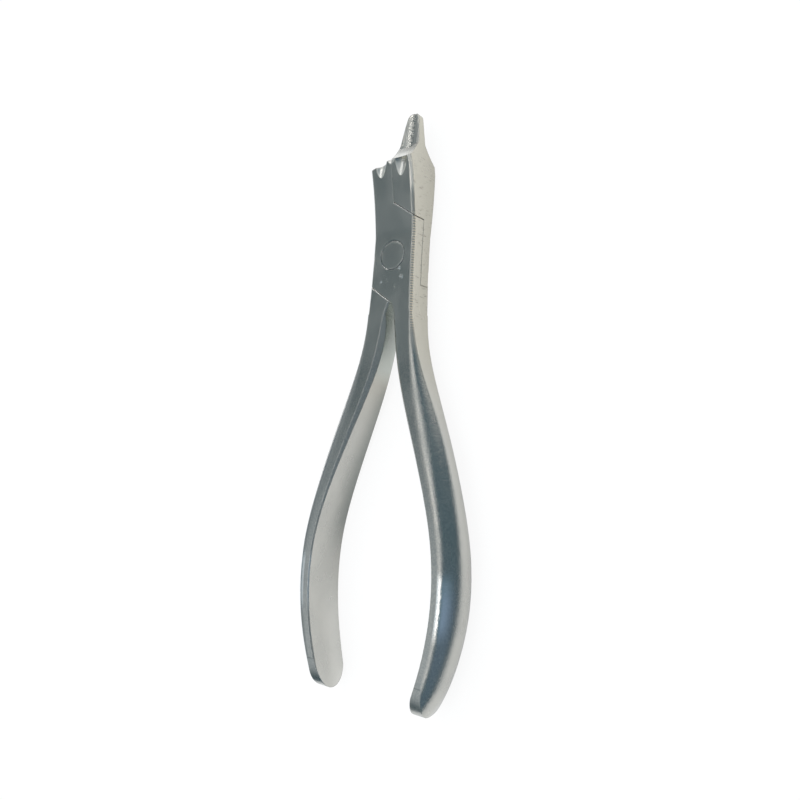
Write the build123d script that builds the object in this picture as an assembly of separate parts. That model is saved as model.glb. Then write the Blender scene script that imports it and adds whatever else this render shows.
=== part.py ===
from build123d import *

import math
import os

# Orthodontic pliers with a lap joint: two steel halves that turn on one flush rivet, with the jaws closed.
# All sizes are in millimetres. The pliers lie flat: X runs across them, Y along them towards the tip, and
# Z up along the pivot. The origin is on the pivot axis, in the back face of the joint.
# Each half is drawn as the front half lies, about the plane where the laps meet: its jaw on the left, its
# lap plate in the upper layer and its handle on the right. The rear half is then turned over about Y.

# Joint
box_thickness = 7.0          # both lap plates together
waist_width = 12.2           # narrowest width of the joint
waist_height = 4.0           # how far above the pivot the waist lies
root_width = 13.3            # width where the handles leave the joint
root_drop = 14.0             # how far below the pivot the handles begin
crotch_width = 0.6           # gap between the handles at its top
root_gap = 2.6               # gap between the handles where they begin
edge_round = 0.8             # rounded long edges of the joint and jaws
crotch_edge = 0.35           # broken edges of the crotch, which widen down the inner edges of the handles
shoulder_edge = 0.08         # broken rims of the shoulders

# Shoulders, the slanted lines where each lap plate ends against the other half
shoulder_slope = 33.5        # degrees from the X axis
upper_shoulder_reach = 10.7  # distance of the upper shoulder from the pivot axis
lower_shoulder_reach = 9.45  # distance of the lower shoulder from the pivot axis

# Jaws
short_jaw_width = 6.45       # at its end, from the line where the closed jaws meet
long_jaw_width = 6.05        # at the same height
jaw_thickness = 10.8         # at the jaw ends
flare_start = 5.0            # where the faces begin to swell towards the jaws
flare_blend = 20.0           # radius that eases the faces into the swell
jaw_height = 21.5            # outer corner of each jaw above the pivot
jaw_end_rise = 1.8           # how much higher a jaw ends at the parting line
jaw_lean = 0.85              # how far the closed jaw ends lean towards the short jaw

# Beak of the long jaw
beak_height = 36.5           # its tip above the pivot
beak_tip_centre = 1.65       # middle of its tip beside the pivot axis
ramp_start = 23.2            # where the jaw faces begin to ramp down to the beak
ramp_end = 28.2              # where the ramps meet the beak
ramp_hollow = 0.25           # how far the ramps are hollowed below a straight line
beak_root_centre = 1.3       # middle of the beak beside the pivot axis, at the end of the ramps
beak_root_width = 5.55       # at the same height
beak_tip_width = 3.2
beak_tip_slant = 0.9         # how much lower the tip ends on the right
beak_tip_round = 1.35        # rounded corners of the tip
beak_root_thickness = 2.6
beak_tip_thickness = 1.5
facet_start = 27.0           # where the hollow ground into the front of the beak begins
facet_depth = 0.45           # how far its floor lies below the front of the beak
facet_radius = 4.5           # of its hollow floor
facet_centre = 1.25          # middle of its floor beside the pivot axis
facet_slant = 0.7            # how much lower the hollow begins at its right end
facet_rim = 0.3              # metal left standing beside the hollow
facet_corner = 1.8           # rounded lower corner of the hollow

# Flutes, round grooves milled into the front faces of the closed jaws, deeper towards the jaw ends
flute_radius = 2.0
flute_slope = 15.0           # degrees, between the floor of a flute and the jaw face
flute_length = 4.3
flute_pitch = 3.07
first_flute = -3.9           # X of the flute nearest the outside of the short jaw
flute_starts = (19.2, 22.0, 18.75, 21.5)   # where each flute begins above the pivot

# Handles
handle_drop = 104.0          # ends of the handles below the pivot
handle_end_round = 7.0       # length of the rounded tongue at each end
handle_edge = 0.3            # broken edges of the flat inner face, at the grip
handle_flat = 1.7            # flat left between the inner face and the rounded back
handle_side = 0.4            # flat left at the middle of the rounded back
root_round = 0.5             # rounding of the handle where it leaves the joint
handle_bow = 0.47            # share, fullness of the rounded back: 0 a flat bevel, 0.55 an ellipse
# Each station: where it lies along the handle, from its root (0) to its end (1), inner face from the centre
# line, bar width, bar depth, how far the back has changed from the square joint (0) to the rounded grip (1),
# and the bevel of its inner edges
handle_stations = (
    (0.0, root_gap / 2, (root_width - root_gap) / 2, box_thickness, 0.0, crotch_edge),
    (0.09, 1.85, 6.3, 7.1, 0.25, 1.15),
    (0.2, 4.65, 7.1, 8.0, 0.62, 1.0),
    (0.333, 9.35, 7.35, 9.3, 0.92, 0.75),
    (0.467, 14.0, 6.6, 10.2, 1.0, 0.45),
    (0.6, 17.3, 5.9, 10.8, 1.0, handle_edge),
    (0.733, 18.0, 5.7, 11.0, 1.0, handle_edge),
    (0.867, 16.2, 5.25, 10.6, 1.0, handle_edge),
    (0.945, 14.1, 4.7, 10.0, 1.0, handle_edge),
    (1.0, 12.7, 3.0, 9.4, 1.0, handle_edge),
)

# Pivot rivet
head_diameter = 7.0
head_height = 1.4
shank_diameter = 4.4
peen_height = 1.1            # height of the peened cone at the rear
head_edge = 0.06             # broken rim of the head and of its seat

# Clearances
lap_gap = 0.06               # between the two lap plates
shoulder_gap = 0.12          # between a lap plate and the shoulder beside it
jaw_gap = 0.06               # between the closed jaws
pivot_clearance = 0.05       # around the rivet in the half that turns on it

# Worked out from the sizes above
half_box = box_thickness / 2
half_jaw = jaw_thickness / 2
slope_sin = math.sin(math.radians(shoulder_slope))
slope_cos = math.cos(math.radians(shoulder_slope))
parting_foot = upper_shoulder_reach / slope_cos
jaw_top = jaw_height + jaw_end_rise
beside = root_width           # a distance past the sides of the joint
beyond = 2 * beak_height      # a distance past the ends of the joint

STRAIGHT_ANGLE = 25.0         # degrees, the most by which an edge along the pliers leans
CURVED_ANGLE = 45.0           # degrees, the same for an edge that curves
SLANT_ANGLE = 4.0             # degrees, the most by which a rim departs from the slant of the shoulders


def upper_shoulder(x, reach):
    """Height of an upper shoulder line at a distance x from the centre line."""
    return (reach - x * slope_sin) / slope_cos


def lower_shoulder(x, reach):
    """Height of a lower shoulder line at a distance x from the centre line."""
    return -(reach - x * slope_sin) / slope_cos


def parting_x(y, lean):
    """X of the line where the closed jaws meet, at a height y above the pivot."""
    return -lean * (y - parting_foot) / (jaw_top - parting_foot)


def face_height(y):
    """Height of the swelling jaw faces above the lap plane, at a height y above the pivot."""
    return half_box + (y - flare_start) * (half_jaw - half_box) / (jaw_top - flare_start)


def lean_of(edge):
    """Angle in degrees between the middle of an edge and the length of the pliers."""
    return math.degrees(math.acos(min(abs((edge % 0.5).Y), 1)))


def in_crotch(edge):
    """Whether an edge runs along the pliers, near their centre line and below the pivot."""
    middle = edge.center()
    return lean_of(edge) < STRAIGHT_ANGLE and abs(middle.X) < root_gap / 2 and middle.Y < 0


def rims(block):
    """Edges on the front and back of a block, without the short ones at its corners."""
    outside = block.edges().filter_by(lambda edge: abs(edge.center().Z) > half_box / 2)
    return outside.filter_by(lambda edge: edge.length > crotch_width)


def prism(points, bottom, top):
    """Upright prism over a polygon of X, Y points, between two heights."""
    return extrude(Pos(0, 0, bottom) * make_face(Polyline(*points, close=True)), top - bottom, dir=(0, 0, 1))


def joint_blank(lean, jaw_width):
    """Joint and jaw as one block: its outline from above, thinned to its outline from the side."""
    root = (root_width / 2, -root_drop)
    waist = (waist_width / 2, waist_height)
    jaw_corner = (-jaw_width - lean, jaw_height)
    outline = [
        TangentArc((-waist[0], waist[1]), jaw_corner, tangent=(0, 1)),
        Polyline(jaw_corner, (-lean, jaw_top), (waist[0], jaw_top), waist),
        TangentArc(waist, root, tangent=(0, -1)),
        Line(root, (-root[0], root[1])),
        TangentArc((-waist[0], waist[1]), (-root[0], root[1]), tangent=(0, -1)),
    ]
    block = extrude(make_face(Curve() + outline), jaw_thickness, both=True)
    side = make_face(
        Polyline(
            (-root_drop, -half_box),
            (flare_start, -half_box),
            (jaw_top, -half_jaw),
            (jaw_top, half_jaw),
            (flare_start, half_box),
            (-root_drop, half_box),
            close=True,
        )
    )
    kinks = side.vertices().filter_by_position(Axis.X, flare_start, flare_start)
    thinning = extrude(Plane.YZ * fillet(kinks, flare_blend), beyond, both=True)
    block = block & thinning
    long_edges = block.edges().filter_by(lambda edge: lean_of(edge) < STRAIGHT_ANGLE)
    return fillet(long_edges, edge_round)


def room_for_other_half(lean):
    """What the other half takes from the block: its jaw, its handle root and its lap plate."""
    near_upper = upper_shoulder_reach - shoulder_gap
    near_lower = lower_shoulder_reach - shoulder_gap
    crotch = crotch_width / 2
    inner_face = root_gap / 2
    jaw_side = -jaw_gap / 2
    jaw = prism(
        [
            (jaw_side, upper_shoulder(0, near_upper)),
            (beside, upper_shoulder(beside, near_upper)),
            (beside, beyond),
            (parting_x(beyond, lean) + jaw_side, beyond),
            (jaw_side, parting_foot),
        ],
        -jaw_thickness,
        jaw_thickness,
    )
    handle_root = prism(
        [
            (crotch, lower_shoulder(-crotch, near_lower)),
            (inner_face, -root_drop),
            (inner_face, -beyond),
            (-beside, -beyond),
            (-beside, lower_shoulder(beside, near_lower)),
        ],
        -jaw_thickness,
        jaw_thickness,
    )
    plate = prism(
        [
            (0, upper_shoulder(0, upper_shoulder_reach)),
            (-beside, upper_shoulder(beside, upper_shoulder_reach)),
            (-beside, lower_shoulder(0, lower_shoulder_reach)),
            (0, lower_shoulder(0, lower_shoulder_reach)),
            (beside, lower_shoulder(beside, lower_shoulder_reach)),
            (beside, upper_shoulder(0, upper_shoulder_reach)),
        ],
        -jaw_thickness,
        lap_gap / 2,
    )
    return jaw + handle_root + plate


def quarter_round(start, corner, end):
    """Smooth bow from start to end, inside the corner of its box."""
    near_start = start + (corner - start) * handle_bow
    near_end = end + (corner - end) * handle_bow
    return Bezier(start, near_start, near_end, end)


def handle_section(share, inner, width, depth, change, edge):
    """Section across a handle: flat inner face with bevelled edges, and a back that is square or rounded."""
    half = depth / 2
    outer = inner + width
    round_across = root_round + (width - handle_flat - root_round) * change
    round_deep = root_round + (half - handle_side / 2 - root_round) * change
    start = outer - round_across
    shoulder = half - round_deep
    outline = [
        Polyline((start, -half), (inner + edge, -half), (inner, edge - half)),
        Polyline((inner, edge - half), (inner, half - edge), (inner + edge, half)),
        Line((inner + edge, half), (start, half)),
        quarter_round(Vector(start, half), Vector(outer, half), Vector(outer, shoulder)),
        Line((outer, shoulder), (outer, -shoulder)),
        quarter_round(Vector(outer, -shoulder), Vector(outer, -half), Vector(start, -half)),
    ]
    drop = root_drop + (handle_drop - root_drop) * share
    return Plane.XZ.offset(drop) * make_face(Curve() + outline)


def handle():
    """Curved handle bar, ending in a rounded tongue."""
    bar = loft([handle_section(*station) for station in handle_stations])
    end_depth = handle_stations[-2][3]
    round_centre = handle_end_round - handle_drop
    tongue = Pos(round_centre, 0) * Ellipse(handle_end_round, end_depth / 2)
    tongue += Pos(round_centre / 2, 0) * Rectangle(-round_centre, 2 * end_depth)
    return bar & extrude(Plane.YZ * tongue, beyond, both=True)


def break_inner_edges(block):
    """Break the rims of the crotch and of the shoulders."""
    crotch = rims(block).filter_by(in_crotch)
    block = chamfer(crotch, crotch_edge)
    shoulders = rims(block).filter_by(lambda edge: abs(lean_of(edge) + shoulder_slope - 90) < SLANT_ANGLE)
    return chamfer(shoulders, shoulder_edge)


def lap_half(lean, jaw_width):
    """One half without its jaw details: jaw, lap plate and handle in one piece."""
    block = joint_blank(lean, jaw_width) - room_for_other_half(lean)
    return break_inner_edges(block) + handle()


def beak():
    """Tapered beak of the long jaw with its ramps, cut from one outline from above and one from the side."""
    jaw_outer = (long_jaw_width - jaw_lean, jaw_height)
    jaw_inner = (parting_x(jaw_height, jaw_lean) + jaw_gap / 2, jaw_height)
    jaw_end = (parting_x(jaw_top, jaw_lean) + jaw_gap / 2, jaw_top)
    left_root = (beak_root_centre - beak_root_width / 2, ramp_end)
    right_root = (beak_root_centre + beak_root_width / 2, ramp_end)
    left_tip = (beak_tip_centre - beak_tip_width / 2, beak_height)
    right_tip = (beak_tip_centre + beak_tip_width / 2, beak_height - beak_tip_slant)
    along_side = (right_root[0] - right_tip[0], right_root[1] - right_tip[1])
    outline = [
        Polyline(right_root, right_tip, left_tip, left_root, jaw_end, jaw_inner, jaw_outer),
        TangentArc(right_root, jaw_outer, tangent=along_side),
    ]
    above = make_face(Curve() + outline)
    tip_corners = above.vertices().sort_by(Axis.Y)[-2:]
    blank = extrude(fillet(tip_corners, beak_tip_round), jaw_thickness, both=True)
    faces = make_face(
        Polyline(
            (jaw_height, -face_height(jaw_height)),
            (beak_height, -face_height(beak_height)),
            (beak_height, face_height(beak_height)),
            (jaw_height, face_height(jaw_height)),
            close=True,
        )
    )
    blank = blank & extrude(Plane.YZ * faces, beyond, both=True)
    outer_edges = blank.edges().filter_by(
        lambda edge: edge.center().X > beak_tip_centre and lean_of(edge) < CURVED_ANGLE
    )
    blank = fillet(outer_edges, edge_round)
    thick_root = beak_root_thickness / 2
    thick_tip = beak_tip_thickness / 2
    ramp_foot = (ramp_end, thick_root)
    ramp_head = (ramp_start, face_height(ramp_start))
    ramp_angle = math.atan2(ramp_head[1] - thick_root, ramp_end - ramp_start)
    ramp_middle = (
        (ramp_start + ramp_end) / 2 - ramp_hollow * math.sin(ramp_angle),
        (ramp_head[1] + thick_root) / 2 - ramp_hollow * math.cos(ramp_angle),
    )
    tip_edge = (beak_height - thick_tip, thick_tip)
    tip_middle = (
        tip_edge[0] + thick_tip * math.sqrt(0.5),
        thick_tip * math.sqrt(0.5),
    )
    upper = [
        Polyline((jaw_height, 0), (jaw_height, face_height(jaw_height)), ramp_head),
        ThreePointArc(ramp_head, ramp_middle, ramp_foot),
        Line(ramp_foot, tip_edge),
        ThreePointArc(tip_edge, tip_middle, (beak_height, 0)),
        Line((beak_height, 0), (jaw_height, 0)),
    ]
    side = make_face(Curve() + upper)
    side += mirror(side, about=Plane.XZ)
    return blank & extrude(Plane.YZ * side, beyond, both=True)


def facet_cutter():
    """Tool that grinds the front hollow of the beak, with one rounded lower corner."""
    taper = math.atan2((beak_root_thickness - beak_tip_thickness) / 2, beak_height - ramp_end)
    narrowing = (beak_root_width - beak_tip_width) / (beak_height - ramp_end)
    right = beak_root_centre + beak_root_width / 2 - facet_rim
    flat = make_face(
        Polyline(
            (-beside, 0),
            (0, 0),
            (right, -facet_slant),
            (right - narrowing * beak_height / 2, beak_height),
            (-beside, beak_height),
            close=True,
        )
    )
    corner = flat.vertices().sort_by_distance((right, -facet_slant))[0]
    height = beak_root_thickness / 2 - facet_depth + (ramp_end - facet_start) * math.tan(taper)
    place = Pos(0, facet_start, height) * Rot(-math.degrees(taper), 0, 0)
    wheel = Pos(facet_centre, 0, facet_radius) * Rot(90, 0, 0) * Cylinder(facet_radius, beyond)
    return place * (extrude(fillet(corner, facet_corner), jaw_thickness) & wheel)


def flute_cutters():
    """Round cutters that mill the flutes, each sloping into the swelling front face of the jaws."""
    swell = math.atan2(half_jaw - half_box, jaw_top - flare_start)
    dive = flute_slope - math.degrees(swell)
    cutter = Cylinder(flute_radius, flute_length, align=(Align.CENTER, Align.MAX, Align.MIN))
    tools = []
    for index, start in enumerate(flute_starts):
        place = Pos(first_flute + index * flute_pitch, start, face_height(start)) * Rot(-90 - dive, 0, 0)
        tools.append(place * cutter)
    return tools


def rivet():
    """Pivot rivet: flat head at the front, straight shank, peened cone at the rear."""
    head = Pos(0, 0, half_box - head_height / 2) * Cylinder(head_diameter / 2, head_height)
    head = chamfer(head.edges().sort_by(Axis.Z)[-1], head_edge)
    shank = Cylinder(shank_diameter / 2, box_thickness)
    peen = Pos(0, 0, (peen_height - box_thickness) / 2) * Cone(head_diameter / 2, shank_diameter / 2, peen_height)
    return head + shank + peen


def turning_seat():
    """Room for the rivet in the front half, which turns on it."""
    head_radius = head_diameter / 2 + pivot_clearance
    seat_height = head_height + pivot_clearance
    head = Pos(0, 0, half_box - seat_height / 2) * Cylinder(head_radius, seat_height)
    rim = Pos(0, 0, half_box - head_edge / 2) * Cone(head_radius, head_radius + head_edge, head_edge)
    return head + rim + Cylinder(shank_diameter / 2 + pivot_clearance, box_thickness)


front_half = lap_half(jaw_lean, short_jaw_width) - turning_seat() - flute_cutters()
rear_half = Rot(0, 180, 0) * lap_half(-jaw_lean, long_jaw_width) + beak()
rear_half = rear_half - rivet() - facet_cutter() - flute_cutters()

lift = Pos(0, 0, half_box)
parts = {
    "front_half": lift * front_half,
    "rear_half": lift * rear_half,
    "pivot_rivet": lift * rivet(),
}
os.makedirs("parts", exist_ok=True)
for name, part in parts.items():
    part.label = name
    export_step(part, f"parts/{name}.step")
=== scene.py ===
"""Looks of the orthodontic pliers: hand-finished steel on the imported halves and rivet, on a white table."""

import logging
import math
from dataclasses import dataclass
from enum import Enum
from typing import Any, Optional

import bpy
import numpy as np
from mathutils import Matrix, Vector


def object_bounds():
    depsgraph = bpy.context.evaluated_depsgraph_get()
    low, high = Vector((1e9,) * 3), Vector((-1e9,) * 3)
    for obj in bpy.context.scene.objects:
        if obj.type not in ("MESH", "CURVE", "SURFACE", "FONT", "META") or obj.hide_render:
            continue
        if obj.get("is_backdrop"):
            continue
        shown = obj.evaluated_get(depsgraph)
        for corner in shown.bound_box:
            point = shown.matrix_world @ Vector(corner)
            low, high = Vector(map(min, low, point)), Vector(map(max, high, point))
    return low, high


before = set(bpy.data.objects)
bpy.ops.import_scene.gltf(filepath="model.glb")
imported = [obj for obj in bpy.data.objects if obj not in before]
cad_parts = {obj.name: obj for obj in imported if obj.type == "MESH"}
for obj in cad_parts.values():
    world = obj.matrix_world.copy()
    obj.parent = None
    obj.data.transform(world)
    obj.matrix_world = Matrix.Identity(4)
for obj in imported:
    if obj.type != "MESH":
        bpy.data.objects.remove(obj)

log = logging.getLogger("pliers")

MM = 0.001
Colour = tuple[float, float, float, float]
Point = tuple[float, float, float]

# Numbers of a Mix node's colour sockets, because its number and vector sockets have the same names.
MIX_UNDER = 6
MIX_OVER = 7
MIX_RESULT = 2


def linear(hex_colour: str, strength: float = 1.0) -> Colour:
    """Turn an sRGB hex colour into a linear one.

    Args:
        hex_colour: six hex digits with a leading mark, such as "#C4C1B8".
        strength: how much brighter than written the colour shines.

    Returns:
        Linear red, green and blue, with full alpha.
    """
    parts = (int(hex_colour[i:i + 2], 16) / 255 for i in (1, 3, 5))
    # The sRGB curve has a straight foot and then a power.
    red, green, blue = (p / 12.92 if p <= 0.04045 else ((p + 0.055) / 1.055) ** 2.4 for p in parts)
    return red * strength, green * strength, blue * strength, 1.0


def add_node(
    tree: bpy.types.NodeTree,
    kind: str,
    inputs: Optional[dict[Any, Any]] = None,
    **settings: Any,
) -> bpy.types.Node:
    """Add one node with its settings, constants and links.

    Args:
        tree: node tree that gets the node.
        kind: Blender's name of the node type.
        inputs: for each input, by name or number, a constant or the output socket to link to it.
        settings: properties of the node itself.

    Returns:
        The new node.
    """
    node = tree.nodes.new(kind)
    for name, value in settings.items():
        setattr(node, name, value)
    for name, value in (inputs or {}).items():
        if isinstance(value, bpy.types.NodeSocket):
            tree.links.new(value, node.inputs[name])
        else:
            node.inputs[name].default_value = value
    return node


class Body(Enum):
    """Rigid bodies that each piece is listed with."""

    REAR = "rear"
    FRONT = "front"


class Axis(Enum):
    """What a region is limited by.

    On a piece it is a place in millimetres, or the way that the surface faces.
    In the room it is a direction.
    """

    ACROSS = "x"
    ALONG = "y"
    UP = "z"
    OUT = "x or -x"
    RADIUS = "distance from the pivot axis"
    FACES_RIGHT = "nx"
    FACES_TIP = "ny"
    FACES_UP = "nz"
    FACES_SIDE = "nx or -nx"
    CEILING_ACROSS = "x / z"
    CEILING_ALONG = "y / z"


@dataclass(frozen=True)
class Limit:
    """A soft border: nothing at the first value, all at the second, and a smooth step between them."""

    axis: Axis
    none: float
    all: float


Region = tuple[Limit, ...]
Places = dict[Axis, bpy.types.NodeSocket]


def region_mask(tree: bpy.types.NodeTree, places: Places, region: Region) -> bpy.types.NodeSocket:
    """Multiply the soft borders of a region.

    Args:
        tree: node tree that gets the nodes.
        places: the output socket of each axis.
        region: borders of the region, at least one.

    Returns:
        Socket that is 1 inside the region and 0 outside it.
    """
    steps = [
        add_node(
            tree,
            "ShaderNodeMapRange",
            {"Value": places[limit.axis], "From Min": limit.none, "From Max": limit.all},
            interpolation_type="SMOOTHSTEP",
        ).outputs[0]
        for limit in region
    ]
    mask = steps[0]
    for step in steps[1:]:
        mask = add_node(tree, "ShaderNodeMath", {0: mask, 1: step}, operation="MULTIPLY").outputs[0]
    return mask


@dataclass(frozen=True)
class PatternNode:
    """Texture node that draws a pattern, scaled to about one mark per unit of its vector."""

    kind: str
    scale: float = 1.0
    settings: tuple[tuple[str, str], ...] = ()


class Pattern(Enum):
    """How marks lie on the surface: scattered, or in a row along the pliers."""

    SCATTERED = PatternNode("ShaderNodeTexNoise")
    # A wave node repeats every 2 pi / 20 of its unit, so pi / 10 gives one mark per unit.
    ROWS = PatternNode("ShaderNodeTexWave", math.pi / 10, (("bands_direction", "Y"),))


@dataclass(frozen=True)
class Marks:
    """One kind of mark on the steel, made by a pattern that is cut to patches or left soft.

    Attributes:
        name: what a maker would call the mark.
        spacing_mm: size of one mark across, along and up.
        cut: values of the pattern where a mark begins and where it is whole.
        region: where the marks lie, or everywhere if it is empty.
        depth_mm: how deep the marks are.
        roughness: what they add to the roughness of the steel.
        tint: colour that they give the steel.
        tint_share: how much of that colour is mixed in.
        detail: how many finer layers the pattern has.
        pattern: how the marks lie.
    """

    name: str
    spacing_mm: Point
    cut: tuple[float, float]
    region: Region = ()
    depth_mm: float = 0.0
    roughness: float = 0.0
    tint: str = "#000000"
    tint_share: float = 0.0
    detail: float = 2.0
    pattern: Pattern = Pattern.SCATTERED

    def share(
        self,
        tree: bpy.types.NodeTree,
        millimetres: bpy.types.NodeSocket,
        places: Places,
    ) -> bpy.types.NodeSocket:
        """Draw the pattern, cut it and keep it inside the region.

        Args:
            tree: node tree of the material.
            millimetres: the place in millimetres as a vector.
            places: the output socket of each axis.

        Returns:
            Socket that is 1 on a mark and 0 beside it.
        """
        scaled = add_node(
            tree,
            "ShaderNodeMapping",
            {"Vector": millimetres, "Scale": tuple(1 / spacing for spacing in self.spacing_mm)},
        )
        texture = self.pattern.value
        drawn = add_node(
            tree,
            texture.kind,
            {"Vector": scaled.outputs[0], "Scale": texture.scale, "Detail": self.detail},
            label=self.name,
            **dict(texture.settings),
        )
        share = add_node(
            tree,
            "ShaderNodeMapRange",
            {"Value": drawn.outputs["Fac"], "From Min": self.cut[0], "From Max": self.cut[1]},
            interpolation_type="SMOOTHSTEP",
        ).outputs[0]
        if not self.region:
            return share
        mask = region_mask(tree, places, self.region)
        return add_node(tree, "ShaderNodeMath", {0: share, 1: mask}, operation="MULTIPLY").outputs[0]


SIDE_FACE = (Limit(Axis.FACES_SIDE, 0.85, 0.97),)
JOINT = (Limit(Axis.ALONG, -17.0, -14.0), Limit(Axis.ALONG, 25.0, 24.0))
FRONT = (Limit(Axis.FACES_UP, 0.8, 0.95),)
RIGHT_EDGE_BAND = (
    Limit(Axis.FACES_RIGHT, 0.25, 0.4),
    Limit(Axis.FACES_UP, 0.2, 0.35),
    Limit(Axis.ALONG, -26.0, -18.0),
    Limit(Axis.ACROSS, 0.0, 2.0),
)
TOOTHED_EDGE = RIGHT_EDGE_BAND + (
    Limit(Axis.FACES_RIGHT, 0.35, 0.5),
    Limit(Axis.ALONG, 10.0, 9.0),
    Limit(Axis.ALONG, -20.0, -15.0),
)
SHOULDER_RIMS = (
    Limit(Axis.FACES_TIP, 0.35, 0.5),
    Limit(Axis.FACES_UP, 0.4, 0.6),
    Limit(Axis.FACES_RIGHT, 0.1, 0.25),
    Limit(Axis.ALONG, 15.0, 14.0),
)
RIVET_RING = (Limit(Axis.RADIUS, 3.3, 3.42), Limit(Axis.RADIUS, 3.8, 3.68))
RIVET_RIM = (Limit(Axis.RADIUS, 2.9, 3.25), Limit(Axis.FACES_UP, 0.5, 0.9))
UPPER_SIDES = (Limit(Axis.FACES_UP, 0.8, 0.4), Limit(Axis.ALONG, -45.0, -14.0), Limit(Axis.OUT, 1.4, 2.6))
GAP_WALLS = (
    Limit(Axis.FACES_UP, 0.5, 0.2),
    Limit(Axis.ALONG, -9.0, -11.0),
    Limit(Axis.ALONG, -38.0, -24.0),
    Limit(Axis.OUT, 4.5, 3.0),
)
INNER_FACE = (Limit(Axis.FACES_RIGHT, 0.8, 0.95), Limit(Axis.ACROSS, -2.0, -6.0))
INNER_FACE_REAR = INNER_FACE + (
    Limit(Axis.UP, 6.0, -1.5),
    Limit(Axis.ALONG, -26.0, -34.0),
    Limit(Axis.ALONG, -76.0, -62.0),
)
INNER_FACE_END = INNER_FACE + (Limit(Axis.UP, 6.0, -1.5), Limit(Axis.ALONG, -74.0, -90.0))
INNER_BEVEL = (
    Limit(Axis.FACES_RIGHT, 0.4, 0.55),
    Limit(Axis.FACES_UP, 0.4, 0.55),
    Limit(Axis.ALONG, -10.0, -12.0),
    Limit(Axis.ACROSS, 0.0, -0.5),
)
FLUTES = (
    Limit(Axis.FACES_TIP, -0.02, 0.06),
    Limit(Axis.FACES_UP, 0.15, 0.4),
    Limit(Axis.FACES_SIDE, 0.9, 0.75),
    Limit(Axis.ALONG, 16.0, 17.5),
    Limit(Axis.ALONG, 26.0, 24.0),
)
FACET = (
    Limit(Axis.ALONG, 26.5, 27.5),
    Limit(Axis.FACES_UP, 0.7, 0.9),
    Limit(Axis.ACROSS, -0.6, 0.5),
    Limit(Axis.ACROSS, 2.6, 1.8),
)
GRIP = (
    Limit(Axis.ALONG, -71.0, -75.0),
    Limit(Axis.ALONG, -88.0, -82.0),
    Limit(Axis.FACES_UP, 0.5, 0.8),
    Limit(Axis.FACES_SIDE, 0.04, 0.16),
)
HANDLES = (Limit(Axis.ALONG, -18.0, -28.0), Limit(Axis.FACES_UP, 0.2, 0.5))
JAW_CORNER = (
    Limit(Axis.FACES_RIGHT, 0.15, 0.3),
    Limit(Axis.FACES_UP, 0.3, 0.5),
    Limit(Axis.ALONG, 14.0, 17.0),
    Limit(Axis.ALONG, 24.0, 23.0),
    Limit(Axis.ACROSS, 4.0, 5.0),
)
SCRATCHED = (
    Limit(Axis.RADIUS, 3.6, 4.2),
    Limit(Axis.RADIUS, 9.0, 7.5),
    Limit(Axis.ALONG, -1.5, -3.0),
    Limit(Axis.FACES_UP, 0.9, 0.98),
)


def spot(across_mm: float, along_mm: float, half_mm: float) -> Region:
    """Small soft square on the front face.

    Args:
        across_mm: its middle across the pliers.
        along_mm: its middle along the pliers.
        half_mm: half its side, where it has faded out.

    Returns:
        Borders of the square.
    """
    full = half_mm / 2
    return FRONT + (
        Limit(Axis.ACROSS, across_mm - half_mm, across_mm - full),
        Limit(Axis.ACROSS, across_mm + half_mm, across_mm + full),
        Limit(Axis.ALONG, along_mm - half_mm, along_mm - full),
        Limit(Axis.ALONG, along_mm + half_mm, along_mm + full),
    )


# Grain of the satin finish: too fine to show as it is, so it is drawn about one pixel coarse.
GRAIN = Marks("grain", (0.22, 0.30, 0.22), (0.3, 0.7), depth_mm=0.009)
# Speckle of the blasted handles, a little coarser than real so that it shows.
SPECKLE = Marks("speckle", (0.4, 0.4, 0.4), (0.4, 0.6), HANDLES, tint="#82878A", tint_share=0.32)
# Painted glint on the corner of the long jaw: a near-white colour that stands in for the lamp's highlight
# there.
PAINTED_CORNER_GLINT = Marks(
    "painted_corner_glint",
    (1.5, 1.5, 1.5),
    (0.0, 0.3),
    JAW_CORNER,
    tint="#FFF7EC",
    tint_share=0.9,
)
# Slow clouds in the finish, from handling and polishing by hand.
CLOUDS = Marks("clouds", (5.0, 9.0, 5.0), (0.35, 0.65), roughness=0.06, tint="#8F9592", tint_share=0.10)
# Strokes of a file across the narrow sides of the joint, which catch dirt.
FILE_STROKES = Marks(
    "file_strokes",
    (2.5, 0.28, 2.0),
    (0.61, 0.71),
    SIDE_FACE + JOINT,
    depth_mm=0.01,
    tint="#5B5954",
    tint_share=0.5,
)
# Teeth that the cutter left along the broken front edge of the joint: real shallow dents, with a near-white
# painted sparkle on them that stands in for the lamp's highlight.
CUTTER_TEETH_WITH_PAINTED_SPARKLE = Marks(
    "cutter_teeth_with_painted_sparkle",
    (0.62, 0.62, 0.62),
    (0.3, 0.75),
    TOOTHED_EDGE,
    depth_mm=0.01,
    tint="#FFEED6",
    tint_share=0.95,
    pattern=Pattern.ROWS,
)
# Painted highlight on the rims of the shoulders that face the tip: white that stands in for the light these
# edges catch.
PAINTED_RIM_HIGHLIGHTS = Marks(
    "painted_rim_highlights",
    (0.5, 0.5, 0.5),
    (0.0, 0.2),
    SHOULDER_RIMS,
    tint="#FFFFFF",
    tint_share=0.9,
)
# Ring around the rivet, filled with dirt here and there.
BROKEN_RING = Marks(
    "broken_ring",
    (2.2, 2.2, 2.2),
    (0.36, 0.54),
    RIVET_RING,
    tint="#6A7376",
    tint_share=0.8,
)
# Painted shade on the inner face of the handle: darker towards its rear edge, where the table that it mirrors
# lies in the handle's shadow.
PAINTED_SHADE_REAR = Marks(
    "painted_shade_rear",
    (4.0, 9.0, 4.0),
    (0.1, 0.4),
    INNER_FACE_REAR,
    tint="#757B77",
    tint_share=0.7,
)
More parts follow.
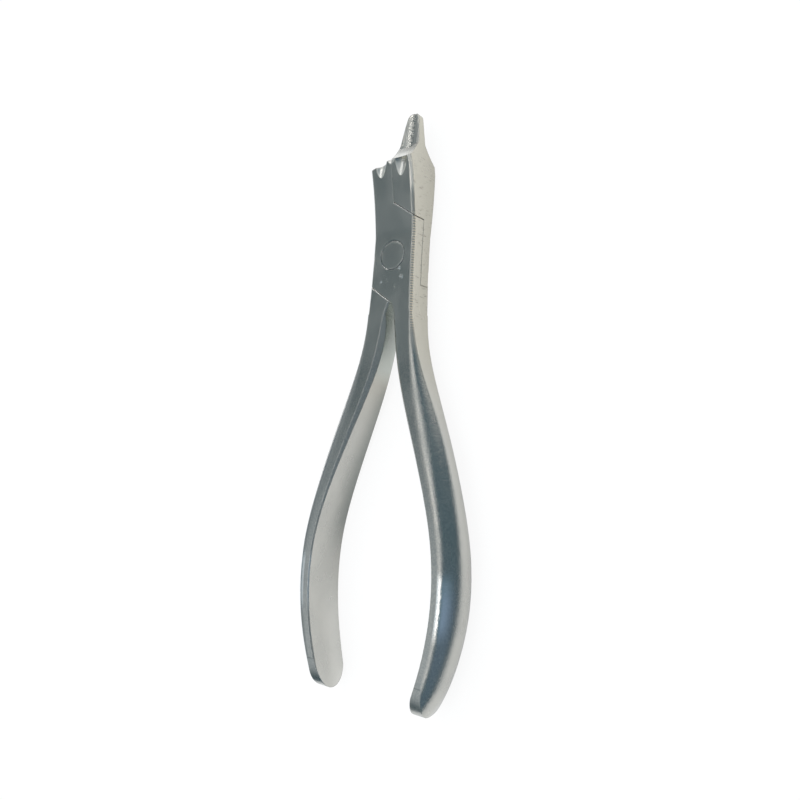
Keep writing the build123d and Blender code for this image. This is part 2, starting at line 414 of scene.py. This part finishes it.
# Painted reflection on the inner face near the handle's end: lighter towards its rear edge, standing in for
# the lit table that it mirrors.
PAINTED_LIGHT_END = Marks(
    "painted_light_end",
    (4.0, 9.0, 4.0),
    (0.1, 0.4),
    INNER_FACE_END,
    tint="#F2F0EA",
    tint_share=0.4,
)
# Painted reflection on the walls of the narrow gap below the joint: a lighter, cooler grey that stands in for
# the bluish room they mirror.
PAINTED_GAP_REFLECTION = Marks("painted_gap_reflection", (1.5, 1.5, 1.5), (0.0, 0.3), GAP_WALLS, tint="#D2DCD9", tint_share=0.5)
# Fronts of the halves, blasted to a duller satin than the ground backs and sides.
BLASTED = Marks("blasted", (0.5, 0.5, 0.5), (0.0, 0.2), FRONT, roughness=0.09)
# Edges broken with a file, left much duller than the faces beside them.
FILED_EDGES = tuple(
    Marks(f"filed_edge_{index}", (0.5, 0.5, 0.5), (0.0, 0.2), region, roughness=0.35)
    for index, region in enumerate((RIGHT_EDGE_BAND, INNER_BEVEL))
)
# Painted warm light on the narrow sides of the joint: a straw colour that stands in for warm light falling on
# them from the right.
PAINTED_WARM_LIGHT = Marks("painted_warm_light", (6.0, 6.0, 6.0), (0.0, 0.3), UPPER_SIDES, tint="#C6BFAC", tint_share=0.5)
# Flutes and ramp, freshly milled and a little duller than the faces, with a lighter colour painted on them as
# a painted reflection of the light.
MILLED_WITH_PAINTED_LIGHT = Marks(
    "milled_with_painted_light",
    (0.5, 0.5, 0.5),
    (0.0, 0.2),
    FLUTES,
    roughness=0.04,
    tint="#F6F4EE",
    tint_share=0.6,
)
# Sparkling coarse grain of the gripping face on the beak.
SPARKLE = Marks("sparkle", (0.55, 0.7, 0.55), (0.35, 0.65), FACET, depth_mm=0.03, roughness=-0.13)
# Grips polished by the hand, smoother than the rest, with a painted highlight: a lighter colour where the
# crest catches the lamp.
POLISH_WITH_PAINTED_HIGHLIGHT = Marks(
    "polish_with_painted_highlight",
    (3.0, 12.0, 3.0),
    (0.1, 0.4),
    GRIP,
    roughness=-0.2,
    tint="#F4F4F2",
    tint_share=0.7,
)
# Middle of each nick across and along, and half the side of its spot.
NICK_SPOTS_MM = ((3.1, -5.6, 0.7), (2.3, -3.4, 0.5), (-3.1, -6.2, 0.5))
# Nicks beside and below the rivet: shallow dents, with a white painted highlight where they catch the lamp.
NICKS_WITH_PAINTED_GLINTS = tuple(
    Marks(
        f"nick_painted_glint_{index}",
        (0.9, 0.3, 0.9),
        (0.5, 0.56),
        spot(*place),
        depth_mm=0.03,
        tint="#FFFFFF",
        tint_share=0.8,
    )
    for index, place in enumerate(NICK_SPOTS_MM)
)
# A few light scratches below the rivet.
SCRATCHES = Marks(
    "scratches",
    (0.8, 0.5, 0.8),
    (0.68, 0.74),
    SCRATCHED,
    depth_mm=0.02,
    roughness=0.25,
)
# Rim of the rivet's front head, rubbed unevenly.
RUBBED_RIM = Marks("rubbed_rim", (1.6, 1.6, 1.6), (0.42, 0.62), RIVET_RIM, depth_mm=0.01, roughness=0.25)


@dataclass(frozen=True)
class SatinSteel:
    """Martensitic stainless steel, ground and finished by hand: a soft grey sheen with uneven grain."""

    name: str
    marks: tuple[Marks, ...]
    colour: str = "#B9B7B1"
    roughness: float = 0.22
    edge_radius_mm: float = 0.35
    edge_samples: int = 6

    def places(self, tree: bpy.types.NodeTree) -> tuple[bpy.types.NodeSocket, Places]:
        """Add the sockets that regions are limited by.

        Args:
            tree: node tree of the material.

        Returns:
            The place in millimetres as a vector, and the socket of each axis.
        """
        coordinates = add_node(tree, "ShaderNodeTexCoord")
        millimetres = add_node(
            tree,
            "ShaderNodeMapping",
            {"Vector": coordinates.outputs["Object"], "Scale": (1 / MM, 1 / MM, 1 / MM)},
        ).outputs[0]
        place = add_node(tree, "ShaderNodeSeparateXYZ", {0: millimetres}).outputs
        faces = add_node(tree, "ShaderNodeSeparateXYZ", {0: coordinates.outputs["Normal"]}).outputs
        flat = add_node(tree, "ShaderNodeCombineXYZ", {0: place[0], 1: place[1]}).outputs[0]
        radius = add_node(tree, "ShaderNodeVectorMath", {0: flat}, operation="LENGTH").outputs["Value"]
        side = add_node(tree, "ShaderNodeMath", {0: faces[0]}, operation="ABSOLUTE").outputs[0]
        out = add_node(tree, "ShaderNodeMath", {0: place[0]}, operation="ABSOLUTE").outputs[0]
        sockets = {
            Axis.ACROSS: place[0],
            Axis.ALONG: place[1],
            Axis.UP: place[2],
            Axis.OUT: out,
            Axis.RADIUS: radius,
            Axis.FACES_RIGHT: faces[0],
            Axis.FACES_TIP: faces[1],
            Axis.FACES_UP: faces[2],
            Axis.FACES_SIDE: side,
        }
        return millimetres, sockets

    def material(self) -> bpy.types.Material:
        """Build the node material: each kind of mark adds to height, roughness and colour.

        Returns:
            The finished material.
        """
        material = bpy.data.materials.new(self.name)
        material.use_nodes = True
        tree = material.node_tree
        tree.nodes.clear()
        millimetres, places = self.places(tree)
        height: Any = 0.0
        roughness: Any = self.roughness
        colour: Any = linear(self.colour)
        for marks in self.marks:
            share = marks.share(tree, millimetres, places)
            if marks.depth_mm:
                height = add_node(
                    tree,
                    "ShaderNodeMath",
                    {0: share, 1: -marks.depth_mm, 2: height},
                    operation="MULTIPLY_ADD",
                ).outputs[0]
            if marks.roughness:
                roughness = add_node(
                    tree,
                    "ShaderNodeMath",
                    {0: share, 1: marks.roughness, 2: roughness},
                    operation="MULTIPLY_ADD",
                ).outputs[0]
            if marks.tint_share:
                amount = add_node(
                    tree, "ShaderNodeMath", {0: share, 1: marks.tint_share}, operation="MULTIPLY"
                ).outputs[0]
                colour = add_node(
                    tree,
                    "ShaderNodeMix",
                    {"Factor": amount, MIX_UNDER: colour, MIX_OVER: linear(marks.tint)},
                    data_type="RGBA",
                ).outputs[MIX_RESULT]
        rounded = add_node(
            tree,
            "ShaderNodeBevel",
            {"Radius": self.edge_radius_mm * MM},
            samples=self.edge_samples,
        )
        bump = add_node(
            tree,
            "ShaderNodeBump",
            {"Height": height, "Distance": MM, "Strength": 1.0, "Normal": rounded.outputs[0]},
        )
        shader = add_node(
            tree,
            "ShaderNodeBsdfPrincipled",
            {"Base Color": colour, "Metallic": 1.0, "Roughness": roughness, "Normal": bump.outputs[0]},
        )
        add_node(tree, "ShaderNodeOutputMaterial", {"Surface": shader.outputs[0]})
        return material


@dataclass
class SteelPiece:
    """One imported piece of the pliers, which keeps its solid and gets its finish."""

    node: str
    body: Body
    finish: bpy.types.Material

    def dress(self) -> None:
        """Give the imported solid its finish."""
        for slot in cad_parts[self.node].material_slots:
            slot.material = self.finish
        log.info("%s rides on %s and wears %s", self.node, self.body.value, self.finish.name)


@dataclass(frozen=True)
class RoomPatch:
    """A soft-edged part of the room that the metal mirrors, such as a lamp panel or a pale wall."""

    name: str
    colour: str
    strength: float
    region: Region


@dataclass(frozen=True)
class Room:
    """Dim room that the metal mirrors: pale walls, a window, a lamp at the back and a lamp panel overhead.

    Attributes:
        shade: colour of the room where no patch lies.
        patches: painted one over the other, in this order.
        least_height: smallest rise of a direction that its place on the ceiling is worked out with.
        camera_colour: what the camera sees instead of the room.
    """

    shade: str = "#6A828E"
    patches: tuple[RoomPatch, ...] = (
        RoomPatch(
            "left_ceiling",
            "#4F656D",
            1.0,
            (Limit(Axis.ACROSS, 0.2, -0.35),),
        ),
        RoomPatch(
            "left_wall",
            "#B5BFC5",
            1.0,
            (Limit(Axis.ACROSS, -0.6, -0.95), Limit(Axis.UP, 0.7, 0.35)),
        ),
        RoomPatch(
            "front_ceiling",
            "#DAE4EB",
            1.0,
            (
                Limit(Axis.ACROSS, 0.2, -0.3),
                Limit(Axis.CEILING_ALONG, 0.16, -0.13),
                Limit(Axis.UP, 0.3, 0.6),
            ),
        ),
        RoomPatch(
            "window",
            "#8096AC",
            1.0,
            (
                Limit(Axis.ACROSS, 0.3, 0.5),
                Limit(Axis.ALONG, -0.06, -0.2),
                Limit(Axis.ALONG, -1.2, -0.26),
            ),
        ),
        RoomPatch(
            "pale_back",
            "#FFFFFF",
            0.95,
            (Limit(Axis.ALONG, 0.52, 0.68), Limit(Axis.UP, 0.76, 0.52)),
        ),
        RoomPatch(
            "back_lamp",
            "#FFFFFF",
            6.5,
            (
                Limit(Axis.UP, 0.3, 0.5),
                Limit(Axis.CEILING_ACROSS, -0.66, -0.58),
                Limit(Axis.CEILING_ACROSS, -0.34, -0.42),
                Limit(Axis.CEILING_ALONG, 0.58, 0.66),
                Limit(Axis.CEILING_ALONG, 1.1, 0.95),
            ),
        ),
        RoomPatch(
            "lamp_panel",
            "#FFFFFF",
            1.9,
            (
                Limit(Axis.UP, 0.3, 0.5),
                Limit(Axis.CEILING_ACROSS, -0.25, -0.1),
                Limit(Axis.CEILING_ACROSS, 0.22, 0.06),
                Limit(Axis.CEILING_ALONG, -0.9, -0.5),
                Limit(Axis.CEILING_ALONG, 0.62, 0.5),
            ),
        ),
    )
    least_height: float = 0.05
    camera_colour: str = "#FFFFFF"

    def build(self) -> None:
        """Paint the patches over the dim room: the camera sees white, the metal sees the patches."""
        world = bpy.data.worlds.new("studio_room")
        world.use_nodes = True
        tree = world.node_tree
        tree.nodes.clear()
        coordinates = add_node(tree, "ShaderNodeTexCoord")
        direction = add_node(tree, "ShaderNodeSeparateXYZ", {0: coordinates.outputs["Generated"]}).outputs
        height = add_node(
            tree, "ShaderNodeMath", {0: direction[2], 1: self.least_height}, operation="MAXIMUM"
        ).outputs[0]
        places = {
            Axis.ACROSS: direction[0],
            Axis.ALONG: direction[1],
            Axis.UP: direction[2],
            Axis.CEILING_ACROSS: add_node(
                tree, "ShaderNodeMath", {0: direction[0], 1: height}, operation="DIVIDE"
            ).outputs[0],
            Axis.CEILING_ALONG: add_node(
                tree, "ShaderNodeMath", {0: direction[1], 1: height}, operation="DIVIDE"
            ).outputs[0],
        }
        colour: Any = linear(self.shade)
        for patch in self.patches:
            colour = add_node(
                tree,
                "ShaderNodeMix",
                {
                    "Factor": region_mask(tree, places, patch.region),
                    MIX_UNDER: colour,
                    MIX_OVER: linear(patch.colour, patch.strength),
                },
                data_type="RGBA",
                label=patch.name,
            ).outputs[MIX_RESULT]
        path = add_node(tree, "ShaderNodeLightPath")
        seen = add_node(
            tree,
            "ShaderNodeMix",
            {
                "Factor": path.outputs["Is Camera Ray"],
                MIX_UNDER: colour,
                MIX_OVER: linear(self.camera_colour),
            },
            data_type="RGBA",
        ).outputs[MIX_RESULT]
        background = add_node(tree, "ShaderNodeBackground", {"Color": seen})
        add_node(tree, "ShaderNodeOutputWorld", {"Surface": background.outputs[0]})
        bpy.context.scene.world = world


@dataclass(frozen=True)
class Table:
    """Matt white table, which keeps the shadow and glows where the camera or the metal sees it.

    Attributes:
        camera_glow: how near to white the camera sees it.
        mirror_glow: how near to white the metal mirrors it.
        far_colour: what the metal mirrors of it further out.
        lit_mm: half widths, across and along, of the oval that the metal mirrors as pale.
        fade: where it begins to dim and where it is dim, in those half widths.
    """

    half_side: float = 1.2
    camera_glow: float = 0.9
    mirror_glow: float = 0.38
    colour: str = "#F2F2F2"
    far_colour: str = "#5F747F"
    lit_mm: tuple[float, float] = (32.0, 130.0)
    fade: tuple[float, float] = (1.0, 2.2)

    def build(self, height: float) -> None:
        """Lay the table under the pliers.

        Args:
            height: where the pliers rest.
        """
        corners = np.array([(-1, -1), (1, -1), (1, 1), (-1, 1)], float) * self.half_side
        points = np.column_stack([corners, np.full(len(corners), height)])
        mesh = bpy.data.meshes.new("table")
        mesh.from_pydata(points.tolist(), [], [(0, 1, 2, 3)])
        mesh.materials.append(self.material())
        table = bpy.data.objects.new("table", mesh)
        bpy.context.scene.collection.objects.link(table)
        table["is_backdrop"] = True

    def material(self) -> bpy.types.Material:
        """Build the node material.

        Returns:
            The finished material.
        """
        material = bpy.data.materials.new("matt_white_laminate")
        material.use_nodes = True
        tree = material.node_tree
        tree.nodes.clear()
        path = add_node(tree, "ShaderNodeLightPath").outputs
        mirrored = add_node(
            tree,
            "ShaderNodeMath",
            {0: path["Is Glossy Ray"], 1: path["Is Transmission Ray"]},
            operation="MAXIMUM",
        ).outputs[0]
        glow = add_node(
            tree, "ShaderNodeMath", {0: mirrored, 1: self.mirror_glow}, operation="MULTIPLY"
        ).outputs[0]
        glow = add_node(
            tree,
            "ShaderNodeMath",
            {0: path["Is Camera Ray"], 1: self.camera_glow, 2: glow},
            operation="MULTIPLY_ADD",
        ).outputs[0]
        place = add_node(
            tree,
            "ShaderNodeMapping",
            {
                "Vector": add_node(tree, "ShaderNodeTexCoord").outputs["Object"],
                "Scale": (1 / (self.lit_mm[0] * MM), 1 / (self.lit_mm[1] * MM), 0.0),
            },
        ).outputs[0]
        distance = add_node(tree, "ShaderNodeVectorMath", {0: place}, operation="LENGTH").outputs["Value"]
        far = add_node(
            tree,
            "ShaderNodeMapRange",
            {"Value": distance, "From Min": self.fade[0], "From Max": self.fade[1]},
            interpolation_type="SMOOTHSTEP",
        ).outputs[0]
        far = add_node(tree, "ShaderNodeMath", {0: far, 1: mirrored}, operation="MULTIPLY").outputs[0]
        matt = add_node(tree, "ShaderNodeBsdfDiffuse", {"Color": linear(self.colour)})
        white = add_node(tree, "ShaderNodeEmission", {"Strength": 1.0})
        dim = add_node(tree, "ShaderNodeEmission", {"Color": linear(self.far_colour)})
        mixed = add_node(tree, "ShaderNodeMixShader", {0: glow, 1: matt.outputs[0], 2: white.outputs[0]})
        mixed = add_node(tree, "ShaderNodeMixShader", {0: far, 1: mixed.outputs[0], 2: dim.outputs[0]})
        add_node(tree, "ShaderNodeOutputMaterial", {"Surface": mixed.outputs[0]})
        return material


@dataclass(frozen=True)
class Softbox:
    """Square lamp high over the table, which lights the table and draws the soft shadow."""

    height: float = 0.9
    side: float = 3.0
    radiance: float = 1.0

    def build(self, middle: Vector) -> None:
        """Hang the lamp over the pliers. The metal mirrors the lamp panel of the room instead of it.

        Args:
            middle: middle of the pliers.
        """
        data = bpy.data.lights.new("softbox", "AREA")
        data.size = self.side
        # Power of a flat square lamp with that radiance.
        data.energy = self.radiance * math.pi * self.side ** 2
        lamp = bpy.data.objects.new("softbox", data)
        lamp.location = middle + Vector((0, 0, self.height))
        lamp.visible_glossy = False
        lamp.visible_camera = False
        bpy.context.scene.collection.objects.link(lamp)


@dataclass(frozen=True)
class Camera:
    """Camera where the photograph was taken from, above and to the right of the pliers."""

    place_mm: Point = (110.147, -50.132, 140.016)
    right: Point = (0.7867, 0.0634, -0.6141)
    up: Point = (0.0053, 0.9940, 0.1095)
    lens_mm: float = 33.21
    sensor_mm: float = 36.0
    nearest: float = 0.01
    furthest: float = 50.0

    def build(self) -> None:
        """Place the camera."""
        data = bpy.data.cameras.new("camera")
        data.lens = self.lens_mm
        data.sensor_width = self.sensor_mm
        data.clip_start = self.nearest
        data.clip_end = self.furthest
        camera = bpy.data.objects.new("camera", data)
        right = Vector(self.right).normalized()
        back = right.cross(Vector(self.up)).normalized()
        turn = Matrix((right, back.cross(right), back)).transposed()
        camera.matrix_world = Matrix.Translation(Vector(self.place_mm) * MM) @ turn.to_4x4()
        bpy.context.scene.collection.objects.link(camera)
        bpy.context.scene.camera = camera


def main() -> None:
    """Dress the pliers and build the studio around them."""
    logging.basicConfig(level=logging.INFO, format="%(name)s: %(message)s")
    low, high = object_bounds()
    halves = SatinSteel(
        "satin_ground_stainless_steel",
        (GRAIN, SPECKLE, CLOUDS, BLASTED, PAINTED_WARM_LIGHT, FILE_STROKES, MILLED_WITH_PAINTED_LIGHT, SPARKLE, POLISH_WITH_PAINTED_HIGHLIGHT, SCRATCHES)
        + FILED_EDGES
        + (CUTTER_TEETH_WITH_PAINTED_SPARKLE, PAINTED_RIM_HIGHLIGHTS, PAINTED_CORNER_GLINT, BROKEN_RING, PAINTED_SHADE_REAR, PAINTED_LIGHT_END, PAINTED_GAP_REFLECTION)
        + NICKS_WITH_PAINTED_GLINTS,
    ).material()
    rivet = SatinSteel(
        "peened_stainless_steel",
        (GRAIN, CLOUDS, BLASTED, RUBBED_RIM, BROKEN_RING),
    ).material()
    for piece in (
        SteelPiece("front_half", Body.FRONT, halves),
        SteelPiece("rear_half", Body.REAR, halves),
        SteelPiece("pivot_rivet", Body.REAR, rivet),
    ):
        piece.dress()
    Table().build(low[2])
    Softbox().build((Vector(low) + Vector(high)) / 2)
    Room().build()
    Camera().build()
    bpy.context.scene.view_settings.view_transform = "Standard"
    bpy.context.view_layer.update()


if __name__ == "__main__":
    main()
